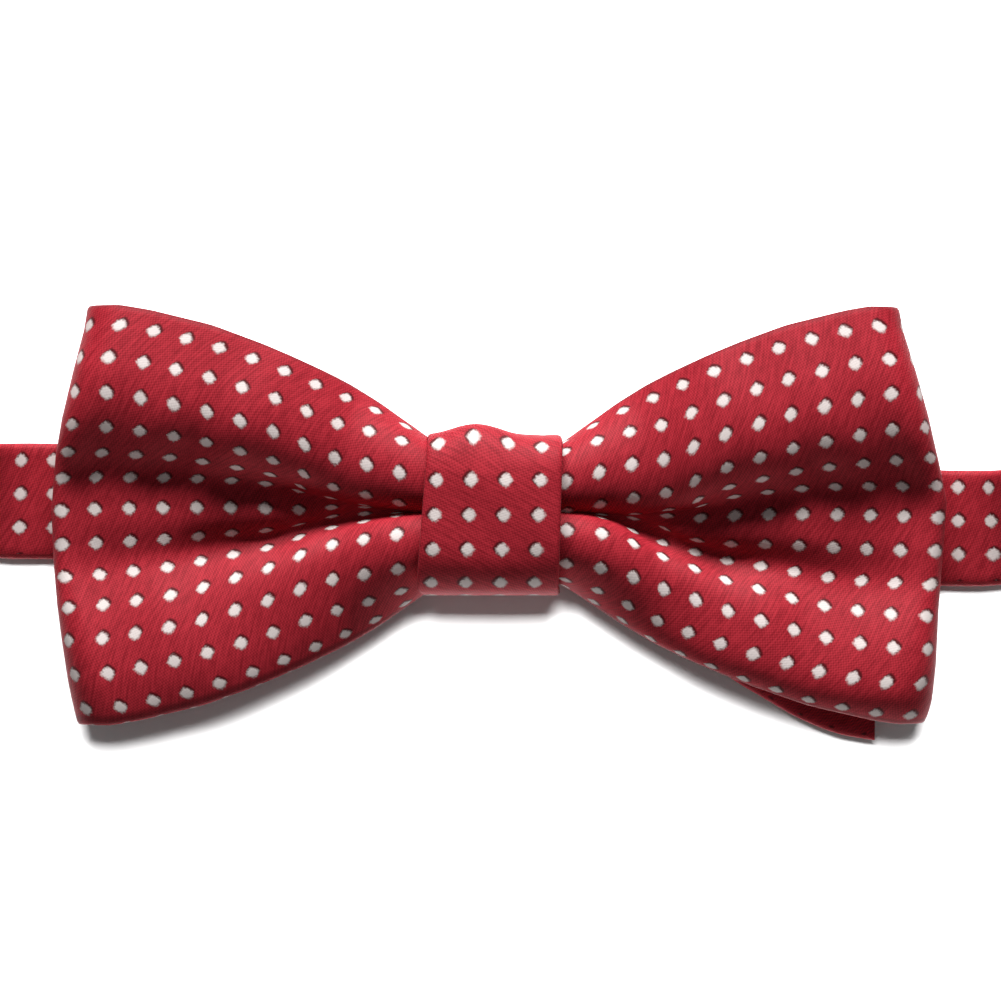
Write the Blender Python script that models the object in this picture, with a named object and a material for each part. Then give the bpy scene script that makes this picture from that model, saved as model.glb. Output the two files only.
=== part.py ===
"""A pre-tied bow tie lying face up: a folded bow, a shorter rear layer, a knot
band and a neck strap with slider, hook and eye. +X runs across the bow, +Y up
the bow and +Z out of its front; the back of the knot is the plane z = 0."""

import math

import bmesh
import bpy
import numpy as np

MM = 0.001

# Cloth: an outer ply each side of an interlining
PLY = 0.30
SLACK = 0.30
INTERLINING = 0.30
TUBE = 2 * (PLY + SLACK) + INTERLINING

# Front bow: a tube of cloth folded at both outer ends, its ends meeting at the back
BOW_CLOTH = 60.5
HALF_SPAN = 60.0
BOW_LENGTH = 60.2
OPEN_LENGTH = 34.0
HALF_HEIGHT = ((0, 8.3), (10.9, 8.4), (13, 12.0), (16, 14.8), (19, 16.8), (24, 19.2),
               (31, 21.8), (40, 24.6), (50, 26.8), (BOW_LENGTH, 28.5))
FOLD_IN = ((0, 5.6), (0.2, 2.9), (0.38, 0.8), (0.52, 0.0), (0.75, 0.6), (0.9, 2.1), (1, 3.2))
ACROSS = 14
ALONG = (0, 5, 10.8, 13.2, 17, 22, 29, 37, 46, 54, BOW_LENGTH)
BACK_ALONG = (BOW_LENGTH, 50, 40, 29, 19, 13.5, 10.8, 0.6)
END_TURNS = (54, 18, -18, -54)
FINE_ACROSS, FINE_ALONG = 113, 101
LEAST_RUN = 0.35
BOW_RISE = 1.7
# Slope of the pleats, in degrees against the place across the cloth
PLEATS_OUT = ((0, 26), (0.18, 14), (0.27, -8), (0.34, -37), (0.43, -34), (0.5, 12), (0.56, -10),
              (0.64, 44), (0.76, 8), (0.87, -5), (1, -24))
PLEATS_IN = ((0, 62), (0.1, 46), (0.2, 2), (0.27, -40), (0.35, -78), (0.43, -56), (0.5, 0),
             (0.57, 56), (0.65, 78), (0.74, 36), (0.82, 0), (0.9, -44), (1, -62))
STEEPEST = 1.08
FLATTENING, FLATTENING_LOST = 0.84, 0.08

# Layers behind the front of the bow, as heights of their middles
STRAP_Z = 2.7
TAILS_Z = 4.6
REAR_Z = 6.5
FRONT_Z = 8.4

# Rear layer, cut square at both ends
TAILS_SPAN = 50.6
TAILS_DROP = 0.7
TAILS_GROW = 0.03
TAILS_AT = (0, 9.8, 14.5, 21, 30, 40, TAILS_SPAN)
TAILS_ACROSS = 9

# Knot band
KNOT_WIDTH = 18.7
KNOT_HALF = 11.2
KNOT_FRONT = 18.2
KNOT_BARREL = 0.7
FLAT_BACK = 1.08
KNOT_CLOTH = 0.8
KNOT_POINTS = 36
KNOT_STATIONS = 5
KNOT_SQUARENESS = 0.42

# Neck strap: flat behind the knot, then on its edge round the neck
STRAP_WIDTH = 14.3
STRAP_SLOPE = -0.030
CORNER_X, CORNER_R, SIDE_Y = 66.0, 26.0, 30.0
EDGE_Z = 7.5
FAR_Z = 9.0
FAR_Y = 2 * CORNER_R + SIDE_Y
BEHIND = (0, 12, 24, 36, 48, 57, 63)
TURN_AT, TURN_RUN = 56, 40
RISE_RUN = 32
FAR_AT, FAR_RUN = 165, 25
BAR_DROP = 2.3
CLEARANCE = 0.35

# Wire fittings
WIRE_R = 0.75
BAR_Y = FAR_Y - BAR_DROP
STRAP_OFF_BAR = TUBE / 2 + WIRE_R + CLEARANCE
RAIL_LOW, RAIL_HIGH = WIRE_R, 2 * FAR_Z - WIRE_R
CORNER_WIRE_R = 1.3
SLIDER_X, SLIDER_HALF, SLIDER_BOW = -35.0, 6.0, 4.7
SLIDER_IN = 1.0
HOOK_X, HOOK_LOOP, HOOK_REACH = 14.0, 6.2, 13.0
HOOK_BEND, HOOK_TIP = 1.6, 2.4
EYE_X, EYE_LOOP = 40.0, 9.0

# Doubled end of the strap, its loop round the slider's bar, and the bar tacks
TAIL_CLOTH = 1.1
TAIL_ENDS = HOOK_X - 2.9, SLIDER_X + 5.4
LOOP_CLOTH = 0.7
LOOP_R = WIRE_R + CLEARANCE + 0.4
TACK_THREAD, TACK_WIDTH, TACK_LENGTH = 0.3, 11.0, 1.2
TACK_GAP = 0.3
SLIDER_TACK_AT = SLIDER_X + 3.2
EYE_TACK_AT = EYE_X + 6.0

CLOTH_RED = (0.48, 0.03, 0.05, 1)
LINING = (0.86, 0.83, 0.76, 1)
NICKEL = (0.72, 0.72, 0.70, 1)
THREAD = (0.36, 0.02, 0.04, 1)


def clear():
    for obj in list(bpy.data.objects):
        bpy.data.objects.remove(obj, do_unlink=True)


def material(name, colour, metallic=0.0, roughness=0.8):
    found = bpy.data.materials.new(name)
    found.use_nodes = True
    shader = found.node_tree.nodes["Principled BSDF"]
    shader.inputs["Base Color"].default_value = colour
    shader.inputs["Metallic"].default_value = metallic
    shader.inputs["Roughness"].default_value = roughness
    return found


def collection(name):
    made = bpy.data.collections.new(name)
    bpy.context.scene.collection.children.link(made)
    return made


def add(name, points, faces, colour, **look):
    """A mesh object from points in millimetres."""
    mesh = bpy.data.meshes.new(name)
    mesh.from_pydata([tuple(c * MM for c in p) for p in points], [], faces)
    work = bmesh.new()
    work.from_mesh(mesh)
    bmesh.ops.triangulate(work, faces=work.faces)
    bmesh.ops.recalc_face_normals(work, faces=work.faces)
    if work.calc_volume(signed=True) < 0:
        bmesh.ops.reverse_faces(work, faces=work.faces)
    work.to_mesh(mesh)
    work.free()
    obj = bpy.data.objects.new(name, mesh)
    mesh.materials.append(material(name, colour, **look))
    TIE.objects.link(obj)
    return obj


def ease(a):
    a = np.clip(a, 0, 1)
    return a * a * (3 - 2 * a)


def keyed(keys, at):
    table = np.array(keys, float)
    return np.interp(at, table[:, 0], table[:, 1])


def rounded(values, reach=3):
    """The same run of values with its corners eased."""
    spread = np.hanning(2 * reach + 1)
    return np.convolve(np.pad(values, reach, mode="edge"), spread / spread.sum(), "valid")


def slopes(grid, way):
    return np.gradient(grid, axis=way)


def normals(grid):
    across = np.cross(slopes(grid, 0), slopes(grid, 1))
    return across / np.linalg.norm(across, axis=2, keepdims=True)


def skin(grid, half, inset=0.0):
    """Loops round a sheet of thickness 2 * half, one at each step along it."""
    middle = grid.copy()
    if inset:
        for edge, inward in ((0, 1), (-1, -2)):
            way = grid[:, inward] - grid[:, edge]
            middle[:, edge] += inset * way / np.linalg.norm(way, axis=1, keepdims=True)
    lift = half * normals(grid)
    return np.concatenate([middle + lift, (middle - lift)[:, ::-1]], axis=1)


def strip_faces(first, n_rings, n_round):
    """Triangles between neighbouring loops, split the same way on both sides of the cloth."""
    faces = []
    for i in range(n_rings - 1):
        for j in range(n_round):
            k = (j + 1) % n_round
            a, b = first + i * n_round, first + (i + 1) * n_round
            if j < n_round // 2:
                faces += [(a + j, b + j, b + k), (a + j, b + k, a + k)]
            else:
                faces += [(a + j, b + j, a + k), (b + j, b + k, a + k)]
    return faces


def sheet(name, grid, thickness, colour, inset=0.0, **look):
    """A solid sheet of cloth whose middle surface is the grid, drawn in at its side edges."""
    loops = skin(grid, thickness / 2, inset)
    n, m, _ = loops.shape
    faces = strip_faces(0, n, m)
    for first in (0, (n - 1) * m):
        for j in range(m // 2 - 1):
            faces.append((first + j, first + j + 1, first + m - 2 - j, first + m - 1 - j))
    return add(name, loops.reshape(-1, 3), faces, colour, **look)


def tube(name, grid, thickness, colour, **look):
    """A sewn tube of cloth, pressed flat and open at both ends."""
    outer = skin(grid, thickness / 2)
    inner = skin(grid, thickness / 2 - PLY, PLY + 0.5)
    n, m, _ = outer.shape
    points = np.concatenate([outer.reshape(-1, 3), inner.reshape(-1, 3)])
    faces = strip_faces(0, n, m) + [f[::-1] for f in strip_faces(n * m, n, m)]
    for first in (0, (n - 1) * m):
        for j in range(m):
            k = (j + 1) % m
            faces.append((first + j, first + k, n * m + first + k, n * m + first + j))
    return add(name, points, faces, colour, **look)


def pleated(length, across):
    """Height up the bow and out of it at each place across the cloth."""
    half = keyed(HALF_HEIGHT, length)
    open_up = ease(length / OPEN_LENGTH)
    lean = (1 - open_up) * keyed(PLEATS_IN, across) + open_up * keyed(PLEATS_OUT, across)
    lean = np.radians(rounded(lean, 4))
    cloth = BOW_CLOTH
    low, high = 0.0, STEEPEST
    for _ in range(40):
        amount = (low + high) / 2
        tall = np.mean(np.cos(amount * lean)) * cloth
        low, high = (amount, high) if tall > 2 * half else (low, amount)
    cloth *= min(1.0, 2 * half / tall)
    step = across[1] - across[0]

    def run(rate):
        return np.concatenate([[0], np.cumsum((rate[1:] + rate[:-1]) / 2 * step)])

    up = half - run(np.cos(amount * lean) * cloth)
    out = run(np.sin(amount * lean) * cloth)
    out -= out[-1] * across
    out = (out - out.min()) * (FLATTENING + FLATTENING_LOST * ease((length - 9.6) / 14))
    return up, out


def rear_height(length, up, base):
    """Height of a rear layer: level by the strap, sagging towards its corners."""
    sag = 1.9 * ease((abs(up) - 9) / 18)
    return base + (base - TAILS_Z) * 0.25 * ease(length / 30) - sag


def bow_grid():
    """The bow's cloth: the front, round both outer ends and back to the middle."""
    fine = np.linspace(0, 1, FINE_ACROSS)
    t = np.linspace(0, 1, ACROSS)
    lengths = np.linspace(0, BOW_LENGTH, FINE_ALONG)
    ups, outs = [], []
    for length in lengths:
        up, out = pleated(length, fine)
        lift = FRONT_Z + BOW_RISE * ease(length / HALF_SPAN)
        ups.append(np.interp(t, fine, up))
        outs.append(np.interp(t, fine, out) + lift)
    ups, outs = np.array(ups), np.array(outs)
    step = lengths[1]
    rise = np.diff(ups, axis=0) ** 2 + np.diff(outs, axis=0) ** 2
    run = np.sqrt(np.maximum(step**2 - rise, (LEAST_RUN * step) ** 2))
    run = np.concatenate([np.zeros((1, ACROSS)), np.cumsum(run, axis=0)])
    back = rear_height(HALF_SPAN, ups[-1], REAR_Z)
    radius = (outs[-1] - back) / 2
    ends = HALF_SPAN - keyed(FOLD_IN, t)
    run *= (ends - radius) / run[-1]

    def at(table, length):
        return np.array([np.interp(length, lengths, table[:, j]) for j in range(ACROSS)])

    half = [np.stack([at(run, s), at(ups, s), at(outs, s)], axis=1) for s in ALONG]
    middle = (outs[-1] + back) / 2
    for turn in np.radians(END_TURNS):
        x = ends - radius + radius * np.cos(turn)
        half.append(np.stack([x, ups[-1], middle + radius * np.sin(turn)], axis=1))
    for length in BACK_ALONG:
        high = keyed(HALF_HEIGHT, length)
        up = high * (1 - 2 * t)
        x = (ends - radius) * length / BOW_LENGTH
        half.append(np.stack([x, up, rear_height(length, up, REAR_Z)], axis=1))
    half = np.array(half)
    left = half[:0:-1] * (-1, 1, 1)
    return np.concatenate([left, half])


def tails_grid():
    """The rear layer's cloth, flat from end to end and gathered under the knot."""
    t = np.linspace(0, 1, TAILS_ACROSS)
    right = []
    for x in TAILS_AT:
        gathered, spread = TAILS_AT[1], TAILS_SPAN - TAILS_AT[1]
        length = ALONG[2] + (x - gathered) * (BOW_LENGTH - ALONG[2]) / spread if x else 0
        half = keyed(HALF_HEIGHT, length) * (1 + TAILS_GROW * ease((x - 10) / 40))
        up = half * (1 - 2 * t) - TAILS_DROP * ease((x - 9) / 12)
        place = np.full(TAILS_ACROSS, x)
        right.append(np.stack([place, up, rear_height(x, up, TAILS_Z)], axis=1))
    right = np.array(right)
    return np.concatenate([right[:0:-1] * (-1, 1, 1), right])


def knot_ring(clearance, x):
    """Outline of the knot band's outside, drawn in by the clearance."""
    barrel = KNOT_BARREL * (1 - (2 * x / KNOT_WIDTH) ** 2)
    tall = KNOT_FRONT / 2
    ring = []
    for k in range(KNOT_POINTS):
        turn = 2 * math.pi * (k + 0.5) / KNOT_POINTS
        c, s = math.cos(turn), math.sin(turn)
        y = (KNOT_HALF - clearance) * math.copysign(abs(c) ** KNOT_SQUARENESS, c)
        z = (tall - clearance) * math.copysign(abs(s) ** KNOT_SQUARENESS, s)
        z *= 1 if s > 0 else FLAT_BACK
        bulge = barrel if s > 0 else 0.0
        high = tall + max(z, clearance - tall) + bulge * max(s, 0)
        ring.append((x, y * (1 + 0.02 * bulge), high))
    return ring


def band(name, outer, inner, half_width, colour):
    """A closed band round the middle, between two clearances from the knot's outside."""
    xs = np.linspace(-half_width, half_width, KNOT_STATIONS)
    n = KNOT_POINTS
    points, faces = [], []
    for clearance in (outer, inner):
        for x in xs:
            points += knot_ring(clearance, x)
    shell = len(xs) * n
    faces += strip_faces(0, len(xs), n)
    faces += [f[::-1] for f in strip_faces(shell, len(xs), n)]
    for first in (0, (len(xs) - 1) * n):
        for j in range(n):
            k = (j + 1) % n
            faces.append((first + j, first + k, shell + first + k, shell + first + j))
    return add(name, points, faces, colour)


def strap_half(side):
    """Plan path from behind the knot round to the far side."""
    stations = [(x, 0.0) for x in BEHIND]
    for k in range(1, 10):
        a = math.pi / 2 * k / 9
        stations.append((CORNER_X + CORNER_R * math.sin(a), CORNER_R * (1 - math.cos(a))))
    stations.append((CORNER_X + CORNER_R, CORNER_R + SIDE_Y / 2))
    for k in range(0, 8):
        a = math.pi / 2 * k / 7
        corner = CORNER_X + CORNER_R * math.cos(a), CORNER_R + SIDE_Y + CORNER_R * math.sin(a)
        stations.append(corner)
    return [(side * x, y) for x, y in stations]


def strap_rows(plan):
    """Rows of three points across the strap along a plan path that starts at the knot."""
    rows = []
    run = 0.0
    for i, (x, y) in enumerate(plan):
        if i:
            run += math.dist(plan[i], plan[i - 1])
        before, after = plan[max(i - 1, 0)], plan[min(i + 1, len(plan) - 1)]
        way = np.array([after[0] - before[0], after[1] - before[1], 0.0])
        way /= np.linalg.norm(way)
        twist = math.pi / 2 * ease((run - TURN_AT) / TURN_RUN)
        flat = np.cross((0, 0, 1), way) * math.copysign(1, plan[1][0])
        high = STRAP_Z + (EDGE_Z - STRAP_Z) * ease((run - TURN_AT) / RISE_RUN)
        high += (FAR_Z - EDGE_Z) * ease((run - FAR_AT) / FAR_RUN)
        tilt = STRAP_SLOPE * x * (1 - ease((run - TURN_AT - 4) / TURN_RUN))
        across = flat * math.cos(twist) + np.array([0, 0, 1.0]) * math.sin(twist)
        centre = np.array([x, y + tilt, high])
        rows.append([centre + across * w * STRAP_WIDTH / 2 for w in (1, 0, -1)])
    return rows


def bar_wrap(x, side, turns, ends_at):
    """Plan path along the far side to a bar, round it and a little way back."""
    path = []
    for k in range(turns + 1):
        a = math.pi / 2 - math.pi * k / turns
        out, up = STRAP_OFF_BAR * math.cos(a), STRAP_OFF_BAR * math.sin(a)
        path.append((x - side * out, BAR_Y + up))
    path.append((ends_at, BAR_Y - STRAP_OFF_BAR))
    return path


def strap_grid():
    """The whole strap from the hook's bar, behind the knot, to the eye's bar."""
    level = BAR_Y + STRAP_OFF_BAR
    left = strap_half(-1)
    left = left[:-1] + [(-CORNER_X, FAR_Y), (-58, (FAR_Y + level) / 2), (-50, level), (-20, level)]
    left += bar_wrap(HOOK_X, -1, 5, HOOK_X - 2.5)
    right = strap_half(1)
    right = right[:-1] + [(CORNER_X, FAR_Y), (58, (FAR_Y + level) / 2), (50, level)]
    right += bar_wrap(EYE_X, 1, 5, EYE_X + 9.0)
    return np.array(strap_rows(left)[::-1] + strap_rows(right)[1:])


def wire(name, path, closed=True):
    """Round wire along a path, with filled ends."""
    curve = bpy.data.curves.new(name, "CURVE")
    curve.dimensions = "3D"
    curve.bevel_depth = WIRE_R * MM
    curve.bevel_resolution = 2
    curve.use_fill_caps = True
    line = curve.splines.new("POLY")
    line.points.add(len(path) - 1)
    for point, place in zip(line.points, path):
        point.co = (*(c * MM for c in place), 1)
    line.use_cyclic_u = closed
    obj = bpy.data.objects.new(name, curve)
    TIE.objects.link(obj)
    graph = bpy.context.evaluated_depsgraph_get()
    mesh = bpy.data.meshes.new_from_object(obj.evaluated_get(graph))
    bpy.data.objects.remove(obj, do_unlink=True)
    made = bpy.data.objects.new(name, mesh)
    work = bmesh.new()
    work.from_mesh(mesh)
    bmesh.ops.remove_doubles(work, verts=work.verts, dist=1e-6)
    bmesh.ops.recalc_face_normals(work, faces=work.faces)
    if work.calc_volume(signed=True) < 0:
        bmesh.ops.reverse_faces(work, faces=work.faces)
    work.to_mesh(mesh)
    work.free()
    return made


def fitting(name, wires, axis_x):
    """Wires brazed into one piece, with its origin on the bar it turns on."""
    base = wires[0]
    base.name = name
    base.data.name = name
    TIE.objects.link(base)
    base.data.materials.clear()
    base.data.materials.append(material(name, NICKEL, metallic=1.0, roughness=0.3))
    for extra in wires[1:]:
        CUTTERS.objects.link(extra)
        extra.hide_render = True
        extra.display_type = "WIRE"
        join = base.modifiers.new("join", "BOOLEAN")
        join.operation = "UNION"
        join.solver = "EXACT"
        join.object = extra
    origin = np.array([axis_x, BAR_Y, FAR_Z]) * MM
    for piece in wires:
        for vertex in piece.data.vertices:
            vertex.co = [c - o for c, o in zip(vertex.co, origin)]
        piece.location = origin
    return base


def corner_arc(x, z, to_x, to_z, y):
    """A rounded corner between two rails, as three points."""
    r, cut = CORNER_WIRE_R, CORNER_WIRE_R * 0.3
    return [(x + to_x * r, y, z), (x + to_x * cut, y, z + to_z * cut), (x, y, z + to_z * r)]


def rounded_loop(x0, x1):
    """A standing rectangle of wire with rounded corners, between two uprights."""
    path = corner_arc(x0, RAIL_LOW, 1, 1, BAR_Y) + corner_arc(x0, RAIL_HIGH, 1, -1, BAR_Y)[::-1]
    path += corner_arc(x1, RAIL_HIGH, -1, -1, BAR_Y)
    return path + corner_arc(x1, RAIL_LOW, -1, 1, BAR_Y)[::-1]


def slider():
    """The slider: a bowed frame with one bar across it."""
    y = BAR_Y - SLIDER_IN
    path = []
    for z, order in ((RAIL_LOW, 1), (RAIL_HIGH, -1)):
        rail = []
        for k in range(-4, 5):
            part = k / 4
            rail.append((SLIDER_X + SLIDER_HALF * part, y + SLIDER_BOW * ease(abs(part)), z))
        path += rail[::order]
    frame = wire("frame", path)
    ends = [(SLIDER_X, y, RAIL_LOW), (SLIDER_X, y, RAIL_HIGH)]
    bar = wire("slider_bar", ends, closed=False)
    return fitting("slider_frame", [frame, bar], SLIDER_X)


def hook():
    """The hook: a wire loop for the strap, and a tongue bent back over itself."""
    x = HOOK_X + HOOK_LOOP
    loop = wire("loop", rounded_loop(HOOK_X, x))
    reach, r = HOOK_X + HOOK_REACH - HOOK_BEND, HOOK_BEND
    path = [(x, BAR_Y, FAR_Z), (reach, BAR_Y, FAR_Z)]
    for k in range(1, 7):
        a = math.pi * k / 6
        path.append((reach + r * math.sin(a), BAR_Y + r * (1 - math.cos(a)), FAR_Z))
    path.append((x + HOOK_TIP, BAR_Y + 2 * r + 0.5, FAR_Z))
    tongue = wire("hook_tongue", path, closed=False)
    return fitting("hook_wire", [loop, tongue], HOOK_X)


def eye():
    loop = wire("loop", rounded_loop(EYE_X, EYE_X - EYE_LOOP))
    return fitting("eye_wire", [loop], EYE_X)


def edge_sheet(name, path, thickness, width, colour):
    """A flat strip standing on its edge along a plan path at the far side."""
    rows = [[(x, y, FAR_Z + w * width / 2) for w in (1, 0, -1)] for x, y in path]
    return sheet(name, np.array(rows, float), thickness, colour)


def bar_tack(name, x, y):
    """A short block of stitches across the strap."""
    edge_sheet(name, [(x, y), (x + TACK_LENGTH, y)], TACK_THREAD, TACK_WIDTH, THREAD)


def tail_pieces():
    """The strap's doubled end, its loop round the slider's bar and the bar tacks."""
    inner = BAR_Y - STRAP_OFF_BAR
    tail = [(x, inner) for x in np.linspace(*TAIL_ENDS, 9)]
    edge_sheet("strap_tail", tail, TAIL_CLOTH, STRAP_WIDTH, CLOTH_RED)
    y = BAR_Y - SLIDER_IN
    loop = [(SLIDER_X + 4.9, inner), (SLIDER_X + 2.7, y - LOOP_R + 0.3)]
    for k in range(7):
        a = -math.pi / 2 - math.pi * k / 6
        loop.append((SLIDER_X + LOOP_R * math.cos(a), y + LOOP_R * math.sin(a)))
    loop += [(SLIDER_X + 1.6, y + LOOP_R - 0.35), (SLIDER_X + 3.2, y + 0.45)]
    loop.append((SLIDER_X + 4.9, y + 0.25))
    edge_sheet("slider_strap_loop", loop, LOOP_CLOTH, STRAP_WIDTH, CLOTH_RED)
    off_loop = LOOP_CLOTH / 2 + TACK_GAP + TACK_THREAD / 2
    bar_tack("slider_bar_tack", SLIDER_TACK_AT, y - LOOP_R + 0.1 - off_loop)
    off_strap = TUBE / 2 + TACK_GAP + TACK_THREAD / 2
    bar_tack("eye_bar_tack", EYE_TACK_AT, inner - off_strap)


clear()
TIE = collection("bow_tie")
CUTTERS = collection("joining_wires")
CUTTERS.hide_render = True

bow = bow_grid()
tube("front_bow_shell", bow, TUBE, CLOTH_RED)
sheet("front_bow_interlining", bow, INTERLINING, LINING, inset=1.4)
tails = tails_grid()
tube("rear_tails_shell", tails, TUBE, CLOTH_RED)
sheet("rear_tails_interlining", tails, INTERLINING, LINING, inset=1.4)
band("knot_wrap", 0.0, KNOT_CLOTH, KNOT_WIDTH / 2, CLOTH_RED)
band("knot_interlining", KNOT_CLOTH + 0.3, KNOT_CLOTH + 0.6, KNOT_WIDTH / 2 - 0.7, LINING)
strap = strap_grid()
tube("neck_strap_shell", strap, TUBE, CLOTH_RED)
sheet("neck_strap_interlining", strap, INTERLINING, LINING, inset=1.2)
tail_pieces()
slider()
hook()
eye()
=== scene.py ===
"""Looks for the bow tie: dotted red cloth, wire fittings, bar tacks, floor, light and camera.

Lengths are in millimetres up to the meshes, and turned into metres there."""

import math

import bmesh
import bpy
import numpy as np
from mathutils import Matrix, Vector


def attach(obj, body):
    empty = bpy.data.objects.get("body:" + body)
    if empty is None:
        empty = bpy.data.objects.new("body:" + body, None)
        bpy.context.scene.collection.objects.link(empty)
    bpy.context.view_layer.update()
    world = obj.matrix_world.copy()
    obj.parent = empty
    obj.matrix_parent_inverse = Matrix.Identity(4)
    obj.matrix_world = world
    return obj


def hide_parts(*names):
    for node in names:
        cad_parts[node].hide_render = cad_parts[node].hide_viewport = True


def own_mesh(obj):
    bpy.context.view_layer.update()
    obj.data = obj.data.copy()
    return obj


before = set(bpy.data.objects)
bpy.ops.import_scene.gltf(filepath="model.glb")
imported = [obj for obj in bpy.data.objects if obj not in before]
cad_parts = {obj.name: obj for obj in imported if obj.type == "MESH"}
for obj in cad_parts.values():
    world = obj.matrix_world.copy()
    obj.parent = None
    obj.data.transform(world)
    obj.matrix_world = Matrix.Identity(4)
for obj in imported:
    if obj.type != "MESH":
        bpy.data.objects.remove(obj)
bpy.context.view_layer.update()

MM = 0.001

# Cloth: thickness of a pressed tube, width of the bow's tube, and its woven pattern
TUBE = 1.2
EDGE_STEPS = 3
BOW_CLOTH = 59.4
PITCH = 4.58
TWILL = 0.46
TWILL_WAY = (0.88, -0.47)
# Dots, as shares of the pitch between them
DOT_REACH = 0.195
DOT_ROUNDNESS = 1.45
DOT_FADE = (-0.07, 0.05)
# Painted shadow on one side of each dot: how far it is moved off the dot, its fade and how dark
# it gets
DOT_SHADOW_SHIFT = (-0.045, -0.065)
DOT_SHADOW_FADE = (-0.02, 0.06)
DOT_SHADOW_DARK = 0.92
# Painted shade along one edge of each dot: where in the cell it sets in
DOT_PAINTED_SHADE = (-0.24, -0.08)
RAGGED = 0.09
# How much each part of the weave changes the red: diagonal ribs, checks, streaks and patches
RIBS, CHECKS, STREAKS, PATCHES = 0.15, 0.42, 1.7, 0.6
# How fine each noise is, per metre: ragged dots, streaks along and across, and patches
RAGGED_SCALES, STREAK_SCALES, PATCH_SCALE = (2300, 3800), (2400, 300), 1500
# Painted shade along the rims where the tube is pressed over its side edges: its fade in mm and
# its depth
RIM_SHADE_FADE = (0.1, 0.9)
RIM_SHADE_DEPTH = 0.55

# Front bow, from the middle of the knot out to its fold
HALF_SPAN = 60.0
CLOTH_RUN = 60.2
KNOT_EDGE = 9.3
HALF_HEIGHT = ((0, 8.0), (7.5, 8.6), (9.3, 9.7), (12.2, 11.8), (16.3, 14.6), (20.3, 17.0),
               (24.3, 19.0), (28.4, 20.9), (32.4, 22.6), (38.9, 25.0), (46.9, 27.0), (55, 28.4),
               (60, 29.1))
# Slopes of the pleats in degrees, positive where the cloth rises down the bow,
# at four distances from the knot
PLEATS = {
    9.3: ((0, 80), (0.08, 66), (0.155, 26), (0.22, -14), (0.27, -50), (0.32, -82), (0.42, -86),
          (0.50, -78), (0.535, -20), (0.56, 50), (0.60, 84), (0.66, 78), (0.70, 44), (0.75, 6),
          (0.80, -30), (0.86, -52), (0.93, -66), (1, -80)),
    27.0: ((0, 26), (0.08, 20), (0.155, 5), (0.195, -10), (0.235, -28), (0.28, -46),
           (0.34, -64), (0.40, -64), (0.435, -30), (0.465, -6), (0.505, -8), (0.53, -48),
           (0.58, -58), (0.61, 0), (0.635, 44), (0.68, 47), (0.715, 36), (0.75, 14),
           (0.80, -5), (0.87, -14), (0.94, -20), (1, -26)),
    45.0: ((0, 12), (0.12, 9), (0.17, 2), (0.205, -12), (0.25, -27), (0.30, -37), (0.38, -38),
           (0.42, -18), (0.45, -5), (0.515, -4), (0.545, -19), (0.595, -19), (0.63, 8),
           (0.66, 21), (0.71, 22), (0.755, 17), (0.81, 11), (0.88, 4), (0.95, -7), (1, -15)),
    60.2: ((0, 14), (0.13, 9), (0.17, 0), (0.21, -10), (0.267, -22), (0.31, -28), (0.38, -28),
           (0.42, -14), (0.46, -3), (0.52, 2), (0.55, -2), (0.585, 0), (0.62, 8), (0.65, 16),
           (0.70, 18), (0.745, 15), (0.80, 11), (0.87, 4), (0.94, -5), (1, -12)),
}
# Most that those slopes may be scaled by
STEEPEST = 1.05
# How far down the cloth the valley sits on each side, as a share of its width
VALLEY_DROP = {1: 0.036, -1: 0.008}
# How much steeper the lower edge turns under on each side, in degrees
ROLL_UNDER = {1: 42, -1: 6}
# Where each of these two sets in, as (start, run), along the bow in mm and down the cloth
DROP_ALONG, DROP_BELOW, DROP_ABOVE = (10, 12), (0.10, 0.16), (0.95, -0.25)
ROLL_ALONG, ROLL_BELOW = (14, 14), (0.88, 0.12)
# How far in from the half span the fold lies on each side, down the cloth
FOLD_IN = {
    1: ((0, 6.4), (0.05, 5.9), (0.15, 4.2), (0.25, 2.6), (0.36, 1.2), (0.47, 0), (0.6, 0.6),
        (0.72, 1.2), (0.85, 1.6), (0.93, 2.1), (1, 2.9)),
    -1: ((0, 4.9), (0.05, 4.5), (0.15, 3.1), (0.26, 1.6), (0.36, 0.7), (0.5, 0), (0.62, 0.3),
         (0.73, 0.9), (0.82, 1.6), (0.91, 2.4), (1, 3.5)),
}
# Cloth taken up in the valley near the knot, and the most that is taken up anywhere
GATHER_ALONG, GATHER_MIDDLE, GATHER_WIDTH = (34, -18), 0.5, 0.13
MOST_TAKEN_UP = 0.75
# Share of the rise from the top edge to the bottom edge that is taken out
LEVELLED = 0.85
# Points: in the pleats' curve, across, along, round the fold and along the back
FINE, ACROSS, ALONG, FOLD_STEPS, BACK_STEPS = 241, 97, 121, 15, 61
HALVINGS, SETTLINGS = 24, 4
# Depth of the pleats: the most it is by the knot, and where it opens to a share of its depth
# and deepens to all of it again
GATHERED_DEPTH = 7.6
OPEN_DEPTH, OPENING, DEEP_AGAIN = 0.84, (KNOT_EDGE - 2, 14), (20, 22)
FRONT_RISE = 1.7
# Loose waves in the cloth: height, period, lean across, and shift to one side
LOOSE = (14, 16)
WAVES = ((0.16, 2.9, 7, 1.3), (0.10, 1.7, -11, 0))
# Least step outwards as a share of a step of cloth, least radius of the end fold, and where
# the back ends, how far inside the front's edges it runs and over how much it gets there
LEAST_RUN = 0.45
LEAST_FOLD_R = 0.9
BACK_END, BACK_INSET, BACK_BLEND = 0.6, 1.3, 8

# Heights of the layers' middles
STRAP_Z = 2.7
TAILS_Z = 4.6
REAR_Z = 6.5
FRONT_Z = 8.3

# Rear layers: how far they sag away from the strap, and how far apart they open
SAG, SAG_FROM = 1.9, (9, 18)
OPEN_SHARE, OPEN_BY = 0.25, 30

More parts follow.
